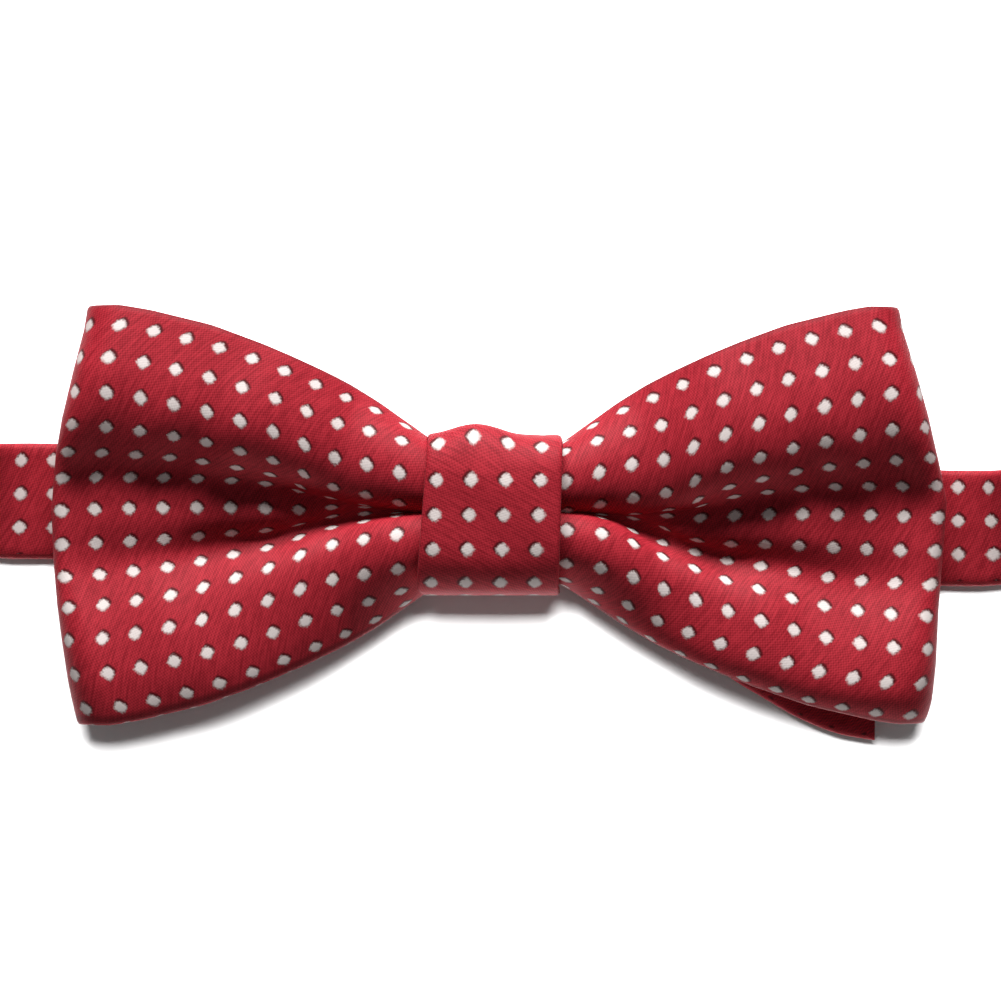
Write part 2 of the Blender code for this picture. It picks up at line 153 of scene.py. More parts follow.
# Rear tails: reach, width as a share of the front's, and gathers near the knot
TAILS_RIGHT, TAILS_LEFT = 51.3, 47.5
TAILS_ACROSS = 61
TAILS_TUCK = 8.8
TAILS_NARROW, TAILS_SPREAD_FROM = 0.83, (26, 22)
TAILS_WING, TAILS_GATHER_FROM = (9, 34), (9, 5)
TAILS_GATHER, TAILS_GATHERS = 0.22, 3.5
# More width, and more height, at the end of each side
TAILS_SPREAD = {1: 0.165, -1: 0.09}
TAILS_LIFT = {1: -1.25, -1: 0.2}

# Knot band
KNOT_CLOTH = 0.9
KNOT_HALF, KNOT_FRONT = 10.85, 18.3
KNOT_WIDTH = 18.2
KNOT_LEAN = 0.055
KNOT_TURNS, KNOT_ACROSS = 96, 41
# Powers that square its sides, its top and its underside
KNOT_SIDES, KNOT_TOP, KNOT_UNDER = 0.52, 0.60, 0.42
KNOT_FACE = (9, 6)
KNOT_PUFF, PUFF_AT, PUFF_WIDTH = 2.0, 10.5, 3.2
KNOT_BARREL = 0.6
PUFF_LEFT, PUFF_SPREAD = 0.35, 0.5
KNOT_RIPPLE = 0.10
# Wider at the left towards its foot, narrower at the right, and its lean and shift in front
KNOT_LEFT_OUT, KNOT_TAPER, KNOT_RIGHT_IN = 0.6, 0.045, 1.15
KNOT_LEAN_SHOWN, KNOT_SHIFT = 0.55, 0.15
KNOT_LAP = (2.6, 1.3, 0, -1.3, -2.6, -3.9)

# Neck strap: flat behind the knot, then on its edge round the neck
STRAP_WIDTH = 14.3
STRAP_THICK = 1.5
STRAP_SLOPE = -0.030
STRAP_ACROSS = 15
CORNER_X, CORNER_R, SIDE_Y = 66.0, 26.0, 30.0
CORNER_STEPS, BEHIND_POINTS, SIDE_POINTS, FAR_POINTS, WRAP_STEPS = 20, 34, 8, 60, 14
EDGE_Z, FAR_Z = 7.5, 9.0
FAR_Y = 2 * CORNER_R + SIDE_Y
BAR_DROP = 2.3
STRAP_OVER = {"hook": 2.5, "eye": 9.0}
# Where along it the strap turns on its edge, rises twice, levels out, waves and meets its bars
TWIST, RISE, FAR_RISE, LEVEL_OUT = (62, 34), (56, 32), (165, 25), (60, 40)
WAVE, WAVE_LENGTH, WAVE_IN, WAVE_OUT = 0.25, 17.0, (96, 20), (150, 20)
MEET = 16

# Wire fittings, and the strap's end round the slider
WIRE_R = 0.75
WRAP_R = STRAP_THICK / 2 + WIRE_R + 0.35
BAR_Y = FAR_Y - BAR_DROP
RAIL_LOW, RAIL_HIGH = WIRE_R, 2 * FAR_Z - WIRE_R
CORNER_WIRE_R = 1.3
SLIDER_X, SLIDER_HALF, SLIDER_BOW, SLIDER_IN = -35.0, 6.0, 4.7, 1.0
HOOK_X, HOOK_LOOP, HOOK_REACH, HOOK_BEND = 14.0, 6.2, 13.0, 1.6
HOOK_TIP_IN, HOOK_TIP_UP = 2.4, 0.5
EYE_X, EYE_LOOP = 40.0, 9.0
TAIL_START, TAIL_END = HOOK_X - 2.9, SLIDER_X + 5.4
TAIL_THICK = 1.2
# Thickness of the strap's loop round the slider, and a length of cloth for it, in mm
LOOP_THICK, LOOP_CLOTH = 0.7, 17.0
THREAD_R = 0.13
TACK_HALF, TACK_SIDE, TACK_SUNK, TACK_ZIGS = 5.4, 0.6, 0.05, 44
SLIDER_TACK = (SLIDER_X + 3.8, BAR_Y - SLIDER_IN - WIRE_R - 1.2)
EYE_TACK = (EYE_X + 6.6, BAR_Y - WRAP_R - STRAP_THICK / 2 - 0.1)

# Lights in metres: name, place, size and power, and what each one lights
LIGHTS = (
    ("key", (-0.02, 0.80, 0.34), (0.45, 0.16), 11.7, "tie"),
    ("floor_light", (0.0, 0.42, 1.2), (0.44, 0.36), 48, "floor"),
    ("floor_fill", (0.0, 0.1, 1.5), (1.6, 1.6), 2.5, "floor"),
    ("fill", (0.0, -0.80, 0.07), (0.6, 0.12), 1.5, "tie"),
)
SKY = 0.07

# Camera: its height in metres, what it is over in mm, and the width in mm that it frames at a
# height in metres
CAMERA_HEIGHT = 0.62
CAMERA_AT = (0.20, 1.95)
FRAMED_HEIGHT = 0.012
FRAME_WIDTH = 134.7
SENSOR = 36

# Colours
RED = (0.620, 0.032, 0.052, 1)
RED_DEEP = (0.310, 0.009, 0.019, 1)
# Maroon of the painted shadow beside the dots and the painted shade along the rims
MAROON_SHADE = (0.085, 0.003, 0.006, 1)
IVORY = (1.0, 0.88, 0.85, 1)
# Ivory of the dots in painted shade
IVORY_IN_PAINTED_SHADE = (0.72, 0.57, 0.56, 1)
THREAD_RED = (0.30, 0.015, 0.03, 1)
NICKEL_DULL, NICKEL_BRIGHT = (0.46, 0.45, 0.43, 1), (0.60, 0.59, 0.57, 1)
PAPER = (0.94, 0.94, 0.94, 1)


def ease(a):
    """A smooth step from 0 to 1."""
    a = np.clip(a, 0, 1)
    return a * a * (3 - 2 * a)


def ramp(value, start, run):
    """0 before the start and 1 after the run, which goes down where it is negative."""
    return ease((value - start) / run)


def keyed(keys, at):
    """Values of a table of (place, value), with straight lines between them."""
    table = np.array(keys, float)
    return np.interp(at, table[:, 0], table[:, 1])


def rounded(values, reach):
    """The same run of values with its corners eased."""
    spread = np.hanning(2 * reach + 1)
    return np.convolve(np.pad(values, reach, mode="edge"), spread / spread.sum(), "valid")


# ---------------------------------------------------------------- materials


class Nodes:
    """Short ways to add and join shader nodes."""

    def __init__(self, name):
        self.material = bpy.data.materials.new(name)
        self.material.use_nodes = True
        self.tree = self.material.node_tree
        self.shader = self.tree.nodes["Principled BSDF"]

    def put(self, socket, value):
        if isinstance(value, bpy.types.NodeSocket):
            self.tree.links.new(value, socket)
        else:
            socket.default_value = value

    def math(self, operation, *values, clamp=False):
        node = self.tree.nodes.new("ShaderNodeMath")
        node.operation = operation
        node.use_clamp = clamp
        for socket, value in zip(node.inputs, values):
            self.put(socket, value)
        return node.outputs[0]

    def between(self, value, low, high):
        """0 up to low, 1 from high, and a smooth step between them."""
        node = self.tree.nodes.new("ShaderNodeMapRange")
        node.interpolation_type = "SMOOTHSTEP"
        node.clamp = True
        self.put(node.inputs["Value"], value)
        node.inputs["From Min"].default_value = low
        node.inputs["From Max"].default_value = high
        return node.outputs["Result"]

    def mix(self, share, a, b):
        """Colour a at share 0 and colour b at share 1."""
        node = self.tree.nodes.new("ShaderNodeMix")
        node.data_type = "RGBA"
        self.put(node.inputs["Factor"], share)
        self.put(node.inputs["A"], a)
        self.put(node.inputs["B"], b)
        return node.outputs["Result"]

    def noise(self, where, scale, detail=2.0):
        node = self.tree.nodes.new("ShaderNodeTexNoise")
        self.put(node.inputs["Vector"], where)
        node.inputs["Scale"].default_value = scale
        node.inputs["Detail"].default_value = detail
        return node.outputs["Fac"]

    def pair(self, x, y):
        node = self.tree.nodes.new("ShaderNodeCombineXYZ")
        self.put(node.inputs[0], x)
        self.put(node.inputs[1], y)
        return node.outputs[0]

    def bump(self, height, distance, strength):
        node = self.tree.nodes.new("ShaderNodeBump")
        node.inputs["Strength"].default_value = strength
        node.inputs["Distance"].default_value = distance
        self.put(node.inputs["Height"], height)
        self.tree.links.new(node.outputs["Normal"], self.shader.inputs["Normal"])

    def set(self, **values):
        """Sets inputs of the shader, with a low line for each space in a name."""
        for name, value in values.items():
            self.put(self.shader.inputs[name.replace("_", " ")], value)


def dotted_cloth(name, shift, shaded_rims=()):
    """Jacquard twill with small rounded diamond dots on a square lattice.

    The pattern follows the cloth's UVs, in metres, moved by shift, which is a share of the pitch.
    Its third argument lists where across the cloth it is pressed over an edge, in mm, and there
    it gets a painted shade."""
    n = Nodes(name)
    uv_map = n.tree.nodes.new("ShaderNodeUVMap")
    uv_map.uv_map = "cloth"
    uv = uv_map.outputs["UV"]
    split = n.tree.nodes.new("ShaderNodeSeparateXYZ")
    n.tree.links.new(uv, split.inputs[0])
    u, v = split.outputs[0], split.outputs[1]

    def lattice(coordinate, move):
        """Place within a cell of the pattern, from -0.5 to 0.5."""
        cell = n.math("MULTIPLY_ADD", coordinate, 1 / (PITCH * MM), move + 100.5)
        return n.math("SUBTRACT", n.math("FRACT", cell), 0.5)

    def diamond(du, dv):
        """Distance from the middle of the nearest dot, moved by du and dv."""
        a = n.math("ABSOLUTE", n.math("ADD", lattice(u, shift[0]), du))
        b = n.math("ABSOLUTE", n.math("ADD", lattice(v, shift[1]), dv))
        powers = [n.math("POWER", part, DOT_ROUNDNESS) for part in (a, b)]
        return n.math("POWER", n.math("ADD", *powers), 1 / DOT_ROUNDNESS)

    def inside(reach, fade):
        """1 within a dot, 0 outside it."""
        return n.math("SUBTRACT", 1.0, n.between(reach, DOT_REACH + fade[0], DOT_REACH + fade[1]))

    ragged = n.math("ADD", *[n.noise(uv, scale, 1.0) for scale in RAGGED_SCALES])
    reach = n.math("ADD", diamond(0.0, 0.0), n.math("MULTIPLY_ADD", ragged, RAGGED, -RAGGED))
    dot = inside(reach, DOT_FADE)
    # Painted shadow on one side of each dot
    dot_shadow = inside(diamond(*DOT_SHADOW_SHIFT), DOT_SHADOW_FADE)
    along, aslant = TWILL_WAY
    run = n.math("ADD", n.math("MULTIPLY", u, along), n.math("MULTIPLY", v, aslant))
    cross = n.math("ADD", n.math("MULTIPLY", u, -aslant), n.math("MULTIPLY", v, along))
    turns = 2 * math.pi / (TWILL * MM)
    twill = n.math("SINE", n.math("MULTIPLY", run, turns))
    ribs = n.math("SINE", n.math("MULTIPLY", cross, turns))
    streaked = [n.math("MULTIPLY", *pair) for pair in zip((run, cross), STREAK_SCALES)]
    streaks = n.math("MULTIPLY_ADD", n.noise(n.pair(*streaked), 1.0), STREAKS, -STREAKS / 2)
    patches = n.math("MULTIPLY_ADD", n.noise(uv, PATCH_SCALE), PATCHES, -PATCHES / 2)
    checks = n.math("MULTIPLY_ADD", n.math("MULTIPLY", twill, ribs), CHECKS, 0.5)
    threads = n.math("MULTIPLY_ADD", twill, RIBS, checks)
    shade = n.math("ADD", threads, n.math("ADD", streaks, patches), clamp=True)
    red = n.mix(shade, RED_DEEP, RED)
    # The painted shadow darkens the red towards maroon
    red = n.mix(n.math("MULTIPLY", dot_shadow, DOT_SHADOW_DARK), red, MAROON_SHADE)
    # Painted shade: each dot's ivory turns darker along one edge
    floats_with_painted_shade = n.mix(n.between(lattice(v, shift[1]), *DOT_PAINTED_SHADE), IVORY_IN_PAINTED_SHADE, IVORY)
    colour = n.mix(dot, red, floats_with_painted_shade)
    # Painted shade along each rim: the cloth darkens towards maroon near it
    for shaded_rim in shaded_rims:
        off = n.math("ABSOLUTE", n.math("SUBTRACT", v, shaded_rim * MM))
        clear = n.between(off, RIM_SHADE_FADE[0] * MM, RIM_SHADE_FADE[1] * MM)
        pressed = n.math("MULTIPLY_ADD", clear, -RIM_SHADE_DEPTH, RIM_SHADE_DEPTH)
        colour = n.mix(pressed, colour, MAROON_SHADE)
    n.set(Base_Color=colour, Roughness=0.6, Specular_IOR_Level=0.18, Sheen_Weight=0.04,
          Sheen_Roughness=0.4, Sheen_Tint=(1.0, 0.55, 0.58, 1))
    height = n.math("MULTIPLY_ADD", threads, 0.25, n.math("MULTIPLY", dot, 0.6))
    n.bump(height, 0.00010, 0.5)
    return n.material


def plain_cloth(name, colour, scale):
    """Matte cloth or thread of one colour, with a fine uneven weave."""
    n = Nodes(name)
    place = n.tree.nodes.new("ShaderNodeTexCoord")
    weave = n.noise(place.outputs["Object"], scale, 3.0)
    dark = tuple(c * 0.72 for c in colour[:3]) + (1,)
    n.set(Base_Color=n.mix(weave, dark, colour), Roughness=0.85)
    n.bump(weave, 0.00015, 0.5)
    return n.material


def nickel(name):
    """Nickel plate, a little rubbed."""
    n = Nodes(name)
    place = n.tree.nodes.new("ShaderNodeTexCoord")
    rub = n.noise(place.outputs["Object"], 900, 3.0)
    rough = n.math("MULTIPLY_ADD", rub, 0.14, 0.18)
    n.set(Base_Color=n.mix(rub, NICKEL_DULL, NICKEL_BRIGHT), Metallic=1.0, Roughness=rough)
    n.bump(rub, 0.00004, 0.25)
    return n.material


# ---------------------------------------------------------------- cloth meshes


def slopes(grid, way):
    return np.gradient(grid, axis=way)


def normals(grid):
    across = np.cross(slopes(grid, 0), slopes(grid, 1))
    return across / np.maximum(np.linalg.norm(across, axis=2, keepdims=True), 1e-9)


def lengths_along(grid, way):
    """Distance along the cloth to each point of the grid."""
    steps = np.linalg.norm(np.diff(grid, axis=way), axis=2)
    pad = [(1, 0), (0, 0)] if way == 0 else [(0, 0), (1, 0)]
    return np.cumsum(np.pad(steps, pad), axis=way)


def tube_mesh(name, grid, thickness, marks, look):
    """A sewn tube pressed flat: a closed skin round the grid, with rolled side edges.

    marks holds (u, v) on the cloth for each point of the grid, in millimetres."""
    rows, cols, _ = grid.shape
    way = normals(grid)
    half = thickness / 2
    loops, where = [], []
    for sign, order in ((1, range(cols)), (-1, range(cols - 1, -1, -1))):
        for j in order:
            loops.append(grid[:, j] + sign * half * way[:, j])
            v = marks[:, j, 1] if sign > 0 else 2 * marks[:, -1, 1] - marks[:, j, 1]
            where.append((marks[:, j, 0], v))
        edge, inward = (cols - 1, cols - 2) if sign > 0 else (0, 1)
        out = grid[:, edge] - grid[:, inward]
        out /= np.maximum(np.linalg.norm(out, axis=1, keepdims=True), 1e-9)
        for k in range(1, EDGE_STEPS + 1):
            turn = math.pi * k / (EDGE_STEPS + 1)
            lift = sign * math.cos(turn) * half * way[:, edge]
            loops.append(grid[:, edge] + lift + math.sin(turn) * half * out)
            step = math.pi * half / (EDGE_STEPS + 1)
            where.append((marks[:, edge, 0], where[-1][1] + step))
    points = np.stack(loops, axis=1)
    count = points.shape[1]
    mesh = bpy.data.meshes.new(name)
    faces, uvs = [], []
    place = np.array([np.stack(w, axis=1) for w in where]).transpose(1, 0, 2) * MM
    width = place[:, 1, 1] - place[:, 0, 1]
    for i in range(rows - 1):
        for j in range(count):
            k = (j + 1) % count
            here, ahead = i * count, (i + 1) * count
            faces.append((here + j, ahead + j, ahead + k, here + k))
            last = place[:, k].copy()
            if k == 0:
                last[:, 1] = place[:, count - 1, 1] + width
            uvs += [place[i, j], place[i + 1, j], last[i + 1], last[i]]
    faces.append(list(range(count)))
    faces.append(list(range((rows - 1) * count, rows * count))[::-1])
    uvs += [(0.0, 0.0)] * (2 * count)
    mesh.from_pydata((points.reshape(-1, 3) * MM).tolist(), [], faces)
    layer = mesh.uv_layers.new(name="cloth")
    layer.data.foreach_set("uv", np.array(uvs, np.float32).ravel())
    work = bmesh.new()
    work.from_mesh(mesh)
    if work.calc_volume(signed=True) < 0:
        bmesh.ops.reverse_faces(work, faces=work.faces)
    work.to_mesh(mesh)
    work.free()
    mesh.shade_smooth()
    mesh.materials.append(look)
    obj = bpy.data.objects.new(name, mesh)
    bpy.context.scene.collection.objects.link(obj)
    return obj


def marks_of(grid):
    """Cloth coordinates by distance along the grid."""
    v = lengths_along(grid, 1)
    v = v.mean(axis=0, keepdims=True) * np.ones_like(v)
    return np.stack([lengths_along(grid, 0), v], axis=2)


# ---------------------------------------------------------------- front bow


def pleated(length, half, side):
    """Height up the bow and out of it across the cloth, at a distance along the cloth.

    The slopes are scaled until the cloth is as tall as the bow is there. If it is still too tall
    at the steepest scale, it is taken up where it is steep, and in the valley near the knot."""
    t = np.linspace(0, 1, FINE)
    drop = VALLEY_DROP[side] * ramp(length, *DROP_ALONG)
    t_keys = t - drop * ramp(t, *DROP_BELOW) * ramp(t, *DROP_ABOVE)
    stations = sorted(PLEATS)
    near = max([s for s in stations if s <= length], default=stations[0])
    far = min([s for s in stations if s >= length], default=stations[-1])
    share = 0.0 if near == far else (length - near) / (far - near)
    lean = (1 - share) * keyed(PLEATS[near], t_keys) + share * keyed(PLEATS[far], t_keys)
    lean = lean - ROLL_UNDER[side] * ramp(t, *ROLL_BELOW) * ramp(length, *ROLL_ALONG)
    lean = np.radians(rounded(lean, 5))
    low, high = 0.0, STEEPEST
    for _ in range(HALVINGS):
        amount = (low + high) / 2
        tall = np.mean(np.cos(amount * lean)) * BOW_CLOTH
        low, high = (amount, high) if tall > 2 * half else (low, amount)
    cloth = BOW_CLOTH
    if tall > 2 * half * 1.001:
        valley = np.exp(-((t - GATHER_MIDDLE) / GATHER_WIDTH) ** 6) * ramp(length, *GATHER_ALONG)
        hidden = np.sin(amount * lean) ** 2 + valley
        over = tall - 2 * half
        spare = np.mean(np.cos(amount * lean) * hidden) * BOW_CLOTH
        cloth = BOW_CLOTH * (1 - hidden * min(MOST_TAKEN_UP, over / spare))
        cloth = cloth * 2 * half / (np.mean(np.cos(amount * lean) * cloth))
    step = t[1]

    def run(rate):
        return np.concatenate([[0], np.cumsum((rate[1:] + rate[:-1]) / 2 * step)])

    up = half - run(np.cos(amount * lean) * cloth)
    out = run(np.sin(amount * lean) * cloth)
    out -= out[-1] * t * LEVELLED
    return up, out - out.min()


def rear_height(length, up, base):
    """Height of a rear layer: level by the strap, sagging towards its corners."""
    sag = SAG * ramp(abs(up), *SAG_FROM)
    return base + (base - TAILS_Z) * OPEN_SHARE * ease(length / OPEN_BY) - sag


def smooth_along(table, reach):
    """The rows of a table eased along the first axis, its ends kept."""
    return np.stack([rounded(column, reach) for column in table.T], axis=1)


def front_face(side, lengths, halves):
    """The front of one side of the bow: heights up it, heights out of it and places along it."""
    t = np.linspace(0, 1, ACROSS)
    fine = np.linspace(0, 1, FINE)
    ups, outs = [], []
    for length, half in zip(lengths, halves):
        up, out = pleated(length, half, side)
        ups.append(np.interp(t, fine, up))
        outs.append(np.interp(t, fine, out))
    ups, outs = smooth_along(np.array(ups), 4), smooth_along(np.array(outs), 4)
    squeeze = GATHERED_DEPTH / max(outs[0].max(), GATHERED_DEPTH)
    flat = squeeze + (OPEN_DEPTH - squeeze) * ramp(lengths, *OPENING)
    flat = flat + (1 - OPEN_DEPTH) * ramp(lengths, *DEEP_AGAIN)
    lift = FRONT_Z + FRONT_RISE * ease(lengths / HALF_SPAN)
    outs = outs * flat[:, None] + lift[:, None]
    loose = ramp(lengths, *LOOSE)[:, None]
    for tall, period, lean, shift in WAVES:
        outs += tall * loose * np.sin(lengths[:, None] / period + lean * t + shift * side)
    step = lengths[1]
    rise = np.diff(ups, axis=0) ** 2 + np.diff(outs, axis=0) ** 2
    run = np.sqrt(np.maximum(step**2 - rise, (LEAST_RUN * step) ** 2))
    return ups, outs, np.concatenate([np.zeros((1, ACROSS)), np.cumsum(run, axis=0)])


def front_half(side):
    """One side of the bow's cloth, from the middle of the knot round the fold to the back."""
    t = np.linspace(0, 1, ACROSS)
    lengths = np.linspace(0, CLOTH_RUN, ALONG)
    halves = keyed(HALF_HEIGHT, lengths)
    for _ in range(SETTLINGS):
        ups, outs, run = front_face(side, lengths, halves)
        back = rear_height(HALF_SPAN, ups[-1], REAR_Z)
        radius = np.maximum((outs[-1] - back) / 2, LEAST_FOLD_R)
        ends = HALF_SPAN - keyed(FOLD_IN[side], t)
        run *= (ends - radius) / run[-1]
        halves = keyed(HALF_HEIGHT, run[:, 3])
    half = [np.stack([run[i], ups[i], outs[i]], axis=1) for i in range(ALONG)]
    middle = (outs[-1] + back) / 2
    for turn in np.linspace(math.pi / 2, -math.pi / 2, FOLD_STEPS)[1:-1]:
        x = ends - radius + radius * math.cos(turn)
        half.append(np.stack([x, ups[-1], middle + radius * math.sin(turn)], axis=1))
    for length in np.linspace(CLOTH_RUN, BACK_END, BACK_STEPS):
        x = (ends - radius) * length / CLOTH_RUN
        up = (keyed(HALF_HEIGHT, x) - BACK_INSET) * (1 - 2 * t)
        blend = ease((CLOTH_RUN - length) / BACK_BLEND)
        up = up * blend + ups[-1] * (1 - blend)
        half.append(np.stack([x, up, rear_height(length, up, REAR_Z)], axis=1))
    return np.array(half)


def front_bow(look):
    """The bow's cloth, and its length along the middle."""
    grid = np.concatenate([front_half(-1)[:0:-1] * (-1, 1, 1), front_half(1)])
    rows = grid.shape[0]
    v = np.linspace(0, BOW_CLOTH, ACROSS)[None, :] * np.ones((rows, 1))
    u = lengths_along(grid, 0)
    u -= u[rows // 2]
    length = np.linalg.norm(np.diff(grid.mean(axis=1), axis=0), axis=1).cumsum()[-1]
    marks = np.stack([u, v], axis=2)
    return tube_mesh("bow_front_cloth", grid, TUBE, marks, look), float(length)


# ---------------------------------------------------------------- rear layer, knot and strap


def rear_tails(look):
    """The shorter layer behind, cut square, hanging a little low at the right."""
    t = np.linspace(0, 1, TAILS_ACROSS)
    left, right = np.linspace(-TAILS_LEFT, 0, 50), np.linspace(0, TAILS_RIGHT, 54)
    rows = []
    for x in np.concatenate([left[:-1], right]):
        side, reach = (1, TAILS_RIGHT) if x > 0 else (-1, TAILS_LEFT)
        out, tucked = abs(x), TAILS_TUCK + 1.0
        length = 0.0
        if out > TAILS_TUCK:
            length = tucked + (out - TAILS_TUCK) * (CLOTH_RUN - tucked) / (reach - TAILS_TUCK)
        share = TAILS_NARROW + TAILS_SPREAD[side] * ramp(out, *TAILS_SPREAD_FROM)
        wing = ramp(out, *TAILS_WING)
        up = keyed(HALF_HEIGHT, length) * share * (1 - 2 * t) + wing * TAILS_LIFT[side]
        gather = TAILS_GATHER * np.sin(2 * math.pi * TAILS_GATHERS * t)
        gather = gather * ramp(out, *TAILS_GATHER_FROM) * (1 - 0.7 * wing)
        high = rear_height(out, up, TAILS_Z) + gather
        rows.append(np.stack([np.full(TAILS_ACROSS, x), up, high], axis=1))
    grid = np.array(rows)
    return grid, tube_mesh("rear_tails_cloth", grid, TUBE, marks_of(grid), look)


def knot_path():
    """The band's middle line round the knot, from under its lap to the end of its lap."""
    half, tall = KNOT_HALF - KNOT_CLOTH / 2, (KNOT_FRONT - KNOT_CLOTH) / 2
    centre = KNOT_FRONT / 2
    path = [(y, KNOT_CLOTH * 1.6) for y in KNOT_LAP]
    for k in range(8, KNOT_TURNS + 1):
        turn = -math.pi / 2 - 2 * math.pi * k / KNOT_TURNS + 2 * math.pi
        c, s = math.cos(turn), math.sin(turn)
        y = math.copysign(abs(c) ** KNOT_SIDES, c) * half
        power = KNOT_TOP if s > 0 else KNOT_UNDER
        z = math.copysign(abs(s) ** power, s) * tall
        path.append((y, centre + z))
    return path


def knot_band(look):
    """The band round the knot, puffed at its top and leaning a little, and its length."""
    path = np.array(knot_path())
    across = np.linspace(1, -1, KNOT_ACROSS)
    rows = []
    for y, z in path:
        front = ramp(z, *KNOT_FACE)
        puff = KNOT_PUFF * math.exp(-((y - PUFF_AT) / PUFF_WIDTH) ** 2) * front
        row = []
        for a in across:
            wider = (KNOT_LEFT_OUT - KNOT_TAPER * y) * front if a < 0 else -KNOT_RIGHT_IN
            half_width = KNOT_WIDTH / 2 + wider
            barrel = (1 - a * a) * KNOT_BARREL * front
            lift = puff * math.exp(-((a + PUFF_LEFT) / PUFF_SPREAD) ** 2)
            x = a * half_width + KNOT_LEAN * y * KNOT_LEAN_SHOWN * front - KNOT_SHIFT
            ripple = KNOT_RIPPLE * front * math.sin(3.1 * a + 0.5 * y)
            row.append((x, y + lift, z + barrel + ripple))
        rows.append(row)
    grid = np.array(rows)
    v = np.concatenate([[0], np.cumsum(np.linalg.norm(np.diff(path, axis=0), axis=1))])
    front = int(np.argmin(abs(path[:, 0]) + 100 * (path[:, 1] < 9)))
    round_knot = (v - v[front])[:, None] + 0 * grid[:, :, 0]
    upright = grid[:, :, 0] - KNOT_LEAN * grid[:, :, 1]
    marks = np.stack([round_knot, -upright], axis=2)
    return tube_mesh("knot_band", grid, KNOT_CLOTH, marks, look), float(v[-1])


def strap_plan(side, bar_x, end_x):
    """Plan line from behind the knot round the neck to a bar, and back to the strap's end."""
    plan = [(x, 0.0) for x in np.linspace(0, CORNER_X, BEHIND_POINTS)]
    for k in range(1, CORNER_STEPS + 1):
        a = math.pi / 2 * k / CORNER_STEPS
        plan.append((CORNER_X + CORNER_R * math.sin(a), CORNER_R * (1 - math.cos(a))))
    for k in range(1, SIDE_POINTS):
        plan.append((CORNER_X + CORNER_R, CORNER_R + SIDE_Y * k / SIDE_POINTS))
    for k in range(CORNER_STEPS + 1):
        a = math.pi / 2 * k / CORNER_STEPS
        y = CORNER_R + SIDE_Y + CORNER_R * math.sin(a)
        plan.append((CORNER_X + CORNER_R * math.cos(a), y))
    level = BAR_Y + WRAP_R
    stop = side * bar_x
    for x in np.linspace(CORNER_X, stop, FAR_POINTS)[1:-1]:
        plan.append((x, level + (FAR_Y - level) * (1 - ease((CORNER_X - x) / MEET))))
    for k in range(WRAP_STEPS + 1):
        a = math.pi / 2 - math.pi * k / WRAP_STEPS
        plan.append((stop - WRAP_R * math.cos(a), BAR_Y + WRAP_R * math.sin(a)))
    back = side * end_x
    plan += [(x, BAR_Y - WRAP_R) for x in np.linspace(stop, back, 5)[1:]]
    return [(side * x, y) for x, y in plan]


def strap_rows(plan, side):
    """Rows of points across the strap, which turns onto its edge as it leaves the bow."""
    rows = []
    run = 0.0
    across = np.linspace(1, -1, STRAP_ACROSS)
    for i, (x, y) in enumerate(plan):
        if i:
            run += math.dist(plan[i], plan[i - 1])
        before, after = plan[max(i - 1, 0)], plan[min(i + 1, len(plan) - 1)]
        way = np.array([after[0] - before[0], after[1] - before[1], 0.0])
        way /= np.linalg.norm(way)
        twist = math.pi / 2 * ramp(run, *TWIST)
        flat = np.cross((0, 0, 1), way) * side
        high = STRAP_Z + (EDGE_Z - STRAP_Z) * ramp(run, *RISE)
        high += (FAR_Z - EDGE_Z) * ramp(run, *FAR_RISE)
        tilt = STRAP_SLOPE * x * (1 - ramp(run, *LEVEL_OUT))
        width_way = flat * math.cos(twist) + np.array([0, 0, 1.0]) * math.sin(twist)
        wave = WAVE * math.sin(run / WAVE_LENGTH)
        wave = wave * ramp(run, *WAVE_IN) * (1 - ramp(run, *WAVE_OUT))
        centre = np.array([x, y + tilt + wave, high])
        rows.append([centre + width_way * w * STRAP_WIDTH / 2 for w in across])
    return rows


def neck_strap(look):
    """The strap from the hook's bar, behind the knot, to the eye's bar, and its length."""
    left = strap_rows(strap_plan(-1, HOOK_X, HOOK_X - STRAP_OVER["hook"]), -1)
    right = strap_rows(strap_plan(1, EYE_X, EYE_X + STRAP_OVER["eye"]), 1)
    grid = np.array(left[::-1] + right[1:])
    marks = marks_of(grid)
    middle = STRAP_ACROSS // 2
    marks[:, :, 0] = marks[:, middle:middle + 1, 0]
    length = float(marks[-1, middle, 0])
    marks[:, :, 0] -= marks[len(left) - 1, middle, 0]
    return tube_mesh("neck_strap_cloth", grid, STRAP_THICK, marks, look), length


def standing_strip(name, path, thickness, look):
    """A strip of the strap's width on its edge, along a plan path at the far side."""
    across = np.linspace(1, -1, STRAP_ACROSS)
    grid = np.array([[(x, y, FAR_Z + w * STRAP_WIDTH / 2) for w in across] for x, y in path])
    return tube_mesh(name, grid, thickness, marks_of(grid), look)


def strap_end(look):
    """The doubled end between the hook and the slider, at one place of the slider, and its
    length.
    """
    path = [(x, BAR_Y - WRAP_R) for x in np.linspace(TAIL_START, TAIL_END, 41)]
    return standing_strip("strap_tail_cloth", path, TAIL_THICK, look), TAIL_START - TAIL_END


def slider_loop(look):
    """The strap's loop round the slider's bar, sewn back to the doubled end."""
    y, wrap = BAR_Y - SLIDER_IN, WIRE_R + 0.75
    path = [(SLIDER_X + 5.0, BAR_Y - WRAP_R), (SLIDER_X + 3.8, BAR_Y - WRAP_R - 0.15),
            (SLIDER_X + 2.7, y - wrap + 0.15), (SLIDER_X + 1.2, y - wrap)]
    for k in range(13):
        a = -math.pi / 2 - math.pi * k / 12
        path.append((SLIDER_X + wrap * math.cos(a), y + wrap * math.sin(a)))
    path += [(SLIDER_X + 1.6, y + wrap - 0.3), (SLIDER_X + 3.2, y + 0.5),
             (SLIDER_X + 5.0, y + 0.25)]
    return standing_strip("slider_loop_cloth", path, LOOP_THICK, look)


# ---------------------------------------------------------------- wire fittings and thread


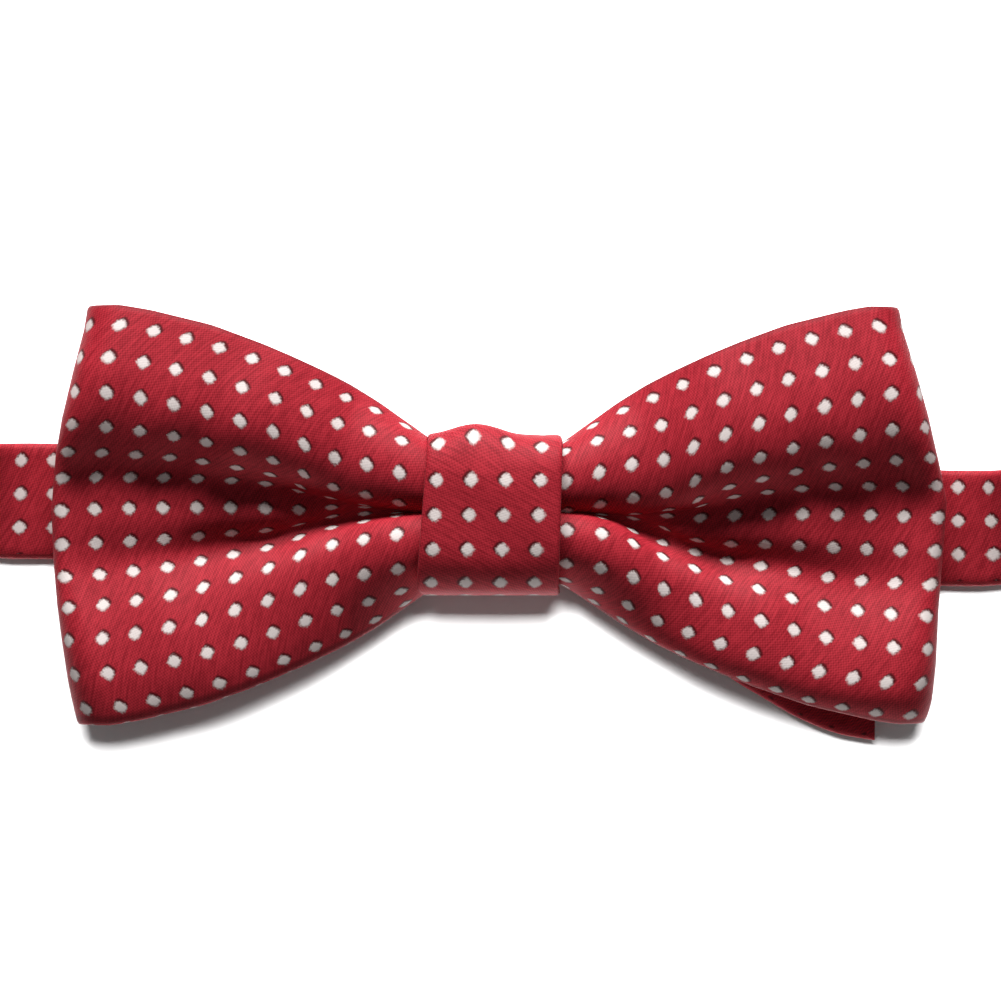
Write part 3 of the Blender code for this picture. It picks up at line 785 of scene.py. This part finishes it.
def wire(name, paths, radius, look, origin, resolution=5):
    """Round wires along smooth paths, as one mesh."""
    curve = bpy.data.curves.new(name, "CURVE")
    curve.dimensions = "3D"
    curve.bevel_depth = radius * MM
    curve.bevel_resolution = resolution
    curve.use_fill_caps = True
    for path, closed in paths:
        line = curve.splines.new("POLY")
        line.points.add(len(path) - 1)
        for point, place in zip(line.points, path):
            point.co = (*((c - o) * MM for c, o in zip(place, origin)), 1)
        line.use_cyclic_u = closed
    draft = bpy.data.objects.new(name + "_curve", curve)
    bpy.context.scene.collection.objects.link(draft)
    graph = bpy.context.evaluated_depsgraph_get()
    mesh = bpy.data.meshes.new_from_object(draft.evaluated_get(graph))
    bpy.data.objects.remove(draft, do_unlink=True)
    mesh.name = name
    mesh.materials.clear()
    mesh.materials.append(look)
    mesh.shade_smooth()
    obj = bpy.data.objects.new(name, mesh)
    obj.location = [o * MM for o in origin]
    bpy.context.scene.collection.objects.link(obj)
    return obj


def corner(x, z, to_x, to_z):
    """A rounded corner between a rail and a bar."""
    r = CORNER_WIRE_R
    points = []
    for k in range(7):
        a = math.pi / 2 * k / 6
        along, up = r * (1 - math.sin(a)), r * (1 - math.cos(a))
        points.append((x + to_x * along, BAR_Y, z + to_z * up))
    return points


def rounded_loop(x0, x1):
    """A standing rectangle of wire with rounded corners, between two uprights."""
    out = math.copysign(1, x1 - x0)
    path = corner(x0, RAIL_LOW, out, 1) + corner(x0, RAIL_HIGH, out, -1)[::-1]
    return path + corner(x1, RAIL_HIGH, -out, -1) + corner(x1, RAIL_LOW, -out, 1)[::-1]


def slider(look):
    """The slider: a bowed frame with one bar across it."""
    y = BAR_Y - SLIDER_IN
    path = []
    for z, order in ((RAIL_LOW, 1), (RAIL_HIGH, -1)):
        parts = [k / 10 for k in range(-10, 11)]
        rail = [(SLIDER_X + SLIDER_HALF * p, y + SLIDER_BOW * ease(abs(p)), z) for p in parts]
        path += rail[::order]
    bar = [(SLIDER_X, y, RAIL_LOW), (SLIDER_X, y, RAIL_HIGH)]
    return wire("slider_wire", [(path, True), (bar, False)], WIRE_R, look, (SLIDER_X, y, FAR_Z))


def hook(look):
    """The hook: a wire loop for the strap, and a tongue bent back over itself."""
    x = HOOK_X + HOOK_LOOP
    reach, r = HOOK_X + HOOK_REACH - HOOK_BEND, HOOK_BEND
    tongue = [(x, BAR_Y, FAR_Z), (reach, BAR_Y, FAR_Z)]
    for k in range(1, 13):
        a = math.pi * k / 12
        tongue.append((reach + r * math.sin(a), BAR_Y + r * (1 - math.cos(a)), FAR_Z))
    tongue.append((x + HOOK_TIP_IN, BAR_Y + 2 * r + HOOK_TIP_UP, FAR_Z))
    wires = [(rounded_loop(HOOK_X, x), True), (tongue, False)]
    return wire("hook_wires", wires, WIRE_R, look, (HOOK_X, BAR_Y, FAR_Z))


def eye(look):
    """The eye: one wire loop for the strap and the hook."""
    loop = rounded_loop(EYE_X, EYE_X - EYE_LOOP)
    return wire("eye_wires", [(loop, True)], WIRE_R, look, (EYE_X, BAR_Y, FAR_Z))


def bar_tack(name, place, look):
    """A close zigzag of thread across the strap."""
    x, y = place
    path = []
    for k in range(TACK_ZIGS + 1):
        z = FAR_Z - TACK_HALF + 2 * TACK_HALF * k / TACK_ZIGS
        path.append((x + (TACK_SIDE if k % 2 else -TACK_SIDE), y - TACK_SUNK, z))
    return wire(name, [(path, False)], THREAD_R, look, (x, y, FAR_Z), resolution=2)


# ---------------------------------------------------------------- stage


def area_light(name, place, size, power, receivers):
    """A soft light on the tie or on the floor, aimed at the tie."""
    data = bpy.data.lights.new(name, "AREA")
    data.shape = "RECTANGLE"
    data.size, data.size_y = size
    data.energy = power
    lamp = bpy.data.objects.new(name, data)
    lamp.location = place
    lamp.rotation_euler = (-Vector(place)).to_track_quat("-Z", "Y").to_euler()
    bpy.context.scene.collection.objects.link(lamp)
    lamp.light_linking.receiver_collection = receivers


def stage():
    """A plain white floor and a soft studio light, with separate lamps for tie and floor."""
    bpy.ops.mesh.primitive_plane_add(size=4.0, location=(0, 0, -0.0002))
    floor = bpy.context.object
    floor.name = "floor"
    n = Nodes("floor_paper")
    n.set(Base_Color=PAPER, Roughness=0.95, Specular_IOR_Level=0.1)
    floor.data.materials.append(n.material)
    floor.visible_diffuse = False
    only_floor = bpy.data.collections.new("lit_floor")
    only_floor.objects.link(floor)
    all_but_floor = bpy.data.collections.new("lit_object")
    all_but_floor.objects.link(floor)
    all_but_floor.collection_objects[0].light_linking.link_state = "EXCLUDE"
    world = bpy.data.worlds.new("studio")
    world.use_nodes = True
    sky = world.node_tree.nodes["Background"]
    sky.inputs["Color"].default_value = (1, 1, 1, 1)
    sky.inputs["Strength"].default_value = SKY
    bpy.context.scene.world = world
    lit = {"tie": all_but_floor, "floor": only_floor}
    for light, place, size, power, what in LIGHTS:
        area_light(light, place, size, power, lit[what])
    bpy.context.scene.view_settings.view_transform = "Standard"


def camera():
    """A camera that looks straight down and frames the bow."""
    data = bpy.data.cameras.new("camera")
    data.sensor_width = SENSOR
    data.lens = SENSOR * (CAMERA_HEIGHT - FRAMED_HEIGHT) / (FRAME_WIDTH * MM)
    viewer = bpy.data.objects.new("camera", data)
    viewer.location = (CAMERA_AT[0] * MM, CAMERA_AT[1] * MM, CAMERA_HEIGHT)
    bpy.context.scene.collection.objects.link(viewer)
    bpy.context.scene.camera = viewer


# ---------------------------------------------------------------- the tie


def piece(obj, slot, body, *nodes):
    """Hides the CAD nodes that a piece stands for and puts it on the body it rides on; its slot
    is not used.
    """
    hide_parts(*nodes)
    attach(obj, body)


def cloth_pieces():
    """Every piece of the tie's cloth, and how each is held."""
    # Where the bow's tube turns over its edges, which get a painted shade
    shaded_rims = (BOW_CLOTH + 0.5, 2 * BOW_CLOTH + 0.5)
    wings = dotted_cloth("cloth_of_the_bow", (0.0, 0.61), shaded_rims)
    band = dotted_cloth("cloth_of_the_knot", (0.0, 0.15))
    strap_look = dotted_cloth("cloth_of_the_strap", (0.3, 0.1))

    bow, length = front_bow(wings)
    piece(bow, "dotted_cloth", "tie", "front_bow_shell", "front_bow_interlining")

    grid, tails = rear_tails(wings)
    piece(tails, "dotted_cloth", "tie", "rear_tails_shell", "rear_tails_interlining")

    knot, length = knot_band(band)
    piece(knot, "dotted_cloth", "tie", "knot_wrap", "knot_interlining")

    strap, length = neck_strap(strap_look)
    piece(strap, "dotted_cloth", "tie", "neck_strap_shell", "neck_strap_interlining")

    tail, length = strap_end(strap_look)
    piece(tail, "dotted_cloth", "tie", "strap_tail")
    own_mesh(tail)

    loop = slider_loop(strap_look)
    piece(loop, "dotted_cloth", "slider", "slider_strap_loop")


def wire_pieces():
    """The three metal fittings and the bar tacks that close the strap's loops."""
    thread = plain_cloth("thread", THREAD_RED, 5000)
    metal = nickel("nickel_wire")
    piece(slider(metal), "nickel_wire", "slider", "slider_frame")
    piece(hook(metal), "nickel_wire", "hook", "hook_wire")
    piece(eye(metal), "nickel_wire", "eye", "eye_wire")
    tack = bar_tack("slider_tack", SLIDER_TACK, thread)
    piece(tack, "sewing_thread", "slider", "slider_bar_tack")
    tack = bar_tack("eye_tack", EYE_TACK, thread)
    piece(tack, "sewing_thread", "tie", "eye_bar_tack")


cloth_pieces()
wire_pieces()
stage()
camera()
